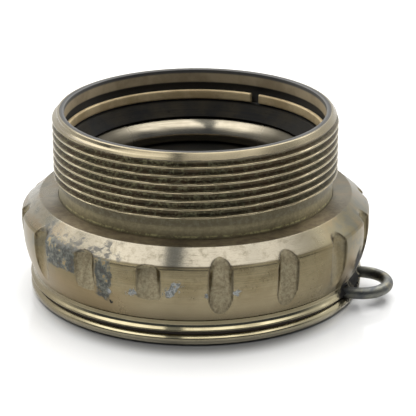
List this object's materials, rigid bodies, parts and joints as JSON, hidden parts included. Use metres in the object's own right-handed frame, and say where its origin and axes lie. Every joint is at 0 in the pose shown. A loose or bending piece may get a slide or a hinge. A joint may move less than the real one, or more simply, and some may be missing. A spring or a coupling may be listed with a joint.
{
  "type": "screw-mounted brass lens cell",
  "caption": "Short turned brass lens cell: external screw thread above a seat shoulder, fluted grip collar, beaded swivel ring with a steel wire lanyard eye, open stepped bore.",
  "frame": {"origin": "the optical axis where it crosses the seat shoulder, the flat face that pulls up against a camera flange", "axes": "+Z along the optical axis and out of the threaded end; -Y towards the viewer of the picture; the lanyard eye is on the +X side"},
  "size_m": [0.0497, 0.0468, 0.0245],
  "materials": {
    "barrel_brass": "turned brass with dark dirt in the thread roots",
    "collar_brass": "worn turned brass, grey stains and small nicks",
    "swivel_brass": "worn turned brass with bright bead edges",
    "inner_brass": "dull brown brass",
    "polished_brass": "polished brass",
    "blackened_brass": "matt black chemical finish",
    "dark_steel": "blackened round steel wire",
    "crown_glass": "polished uncoated glass",
    "flint_glass": "polished uncoated glass"
  },
  "bodies": {
    "lens_body": {"threaded_barrel": "barrel_brass", "grip_collar": "collar_brass", "spring_ring": "inner_brass", "baffle_ring": "blackened_brass", "seat_ring": "polished_brass", "stop_plate": "blackened_brass", "rear_flint": "flint_glass", "spacer_ring": "blackened_brass", "front_crown": "crown_glass", "retaining_ring": "inner_brass", "front_bezel": "swivel_brass"},
    "swivel": {"swivel_ring": "swivel_brass", "lanyard_eye": "dark_steel"}
  },
  "joints": [
    {"name": "swivel_spin", "type": "hinge", "parent": "lens_body", "child": "swivel", "pos_m": [0, 0, -0.0106], "axis": [0, 0, 1], "continuous": true}
  ]
}
